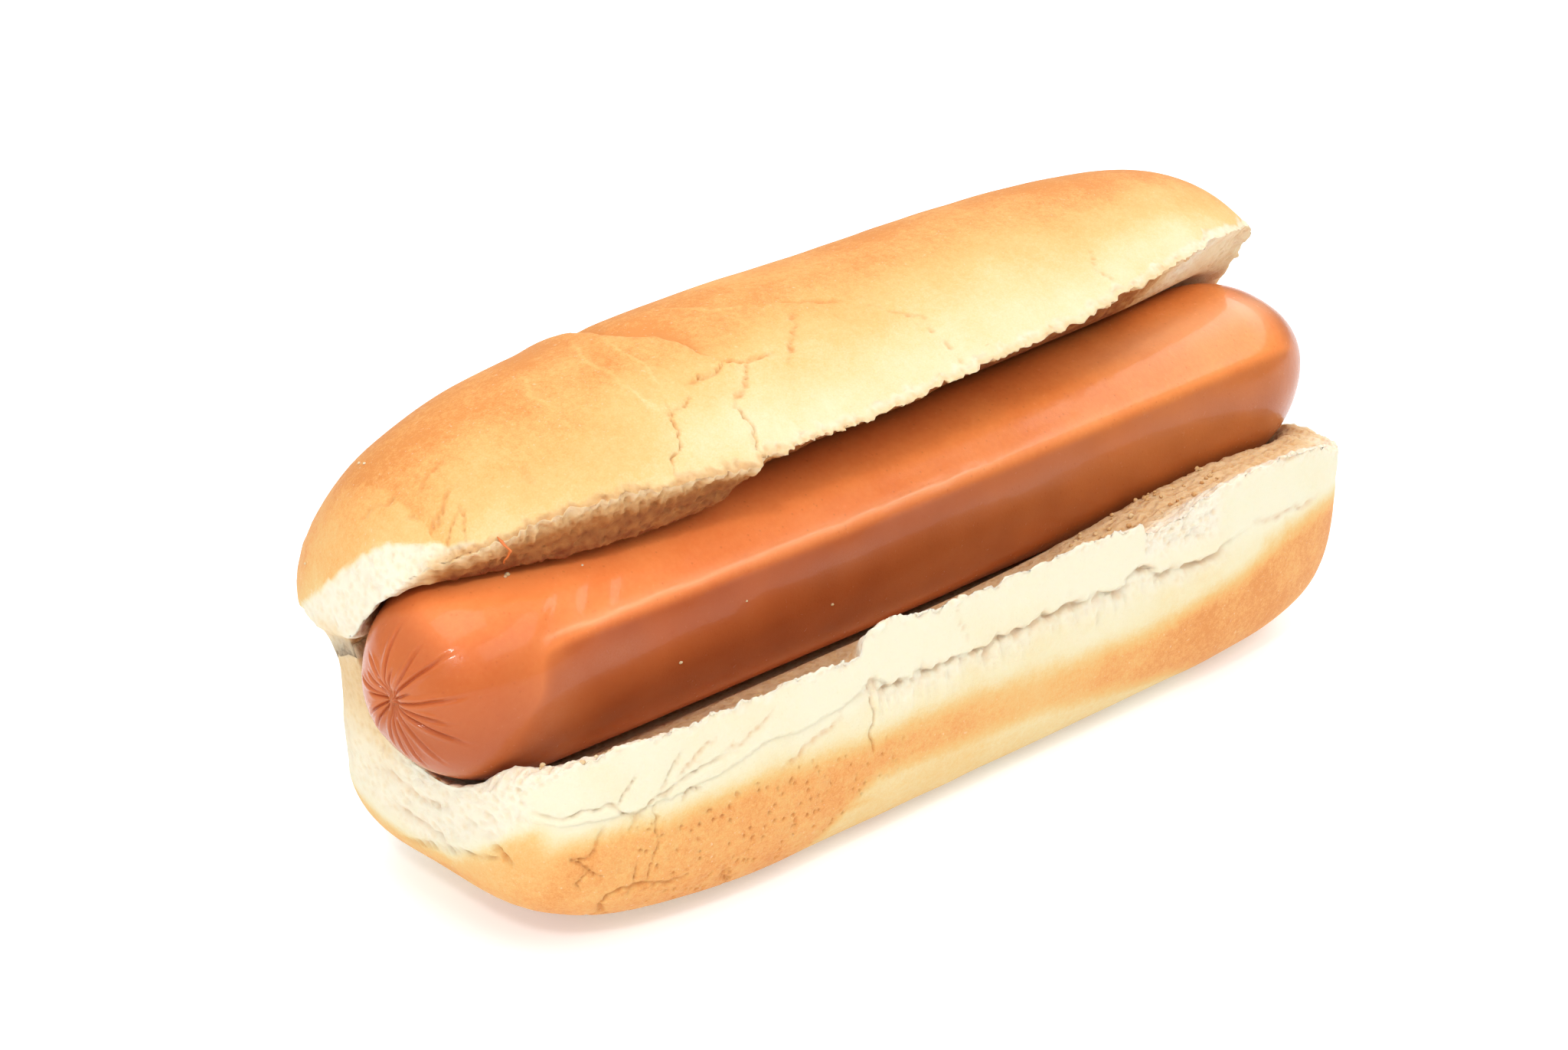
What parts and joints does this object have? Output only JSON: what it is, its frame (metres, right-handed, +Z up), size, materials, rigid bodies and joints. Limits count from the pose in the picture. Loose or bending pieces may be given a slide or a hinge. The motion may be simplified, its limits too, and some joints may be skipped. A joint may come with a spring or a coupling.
{
  "type": "hot dog",
  "caption": "Frankfurter held in a soft side-sliced bread bun, whose upper half stands open over it along the uncut hinge.",
  "frame": {"origin": "middle of the footprint on the floor, under the whole hot dog's box", "axes": "+X along the sausage to its end that is further from the tied, creased one; the slice opens towards -Y and the bun's hinge is at +Y; +Z up from the flat underside of the bun"},
  "size_m": [0.1486, 0.0554, 0.0596],
  "materials": {
    "bread": "soft baked crust, golden on top, cream at the slice, dry crumb inside",
    "sausage": "moist smooth skin, orange-brown"
  },
  "bodies": {
    "root": {"bun": "bread", "sausage": "sausage"}
  },
  "joints": []
}
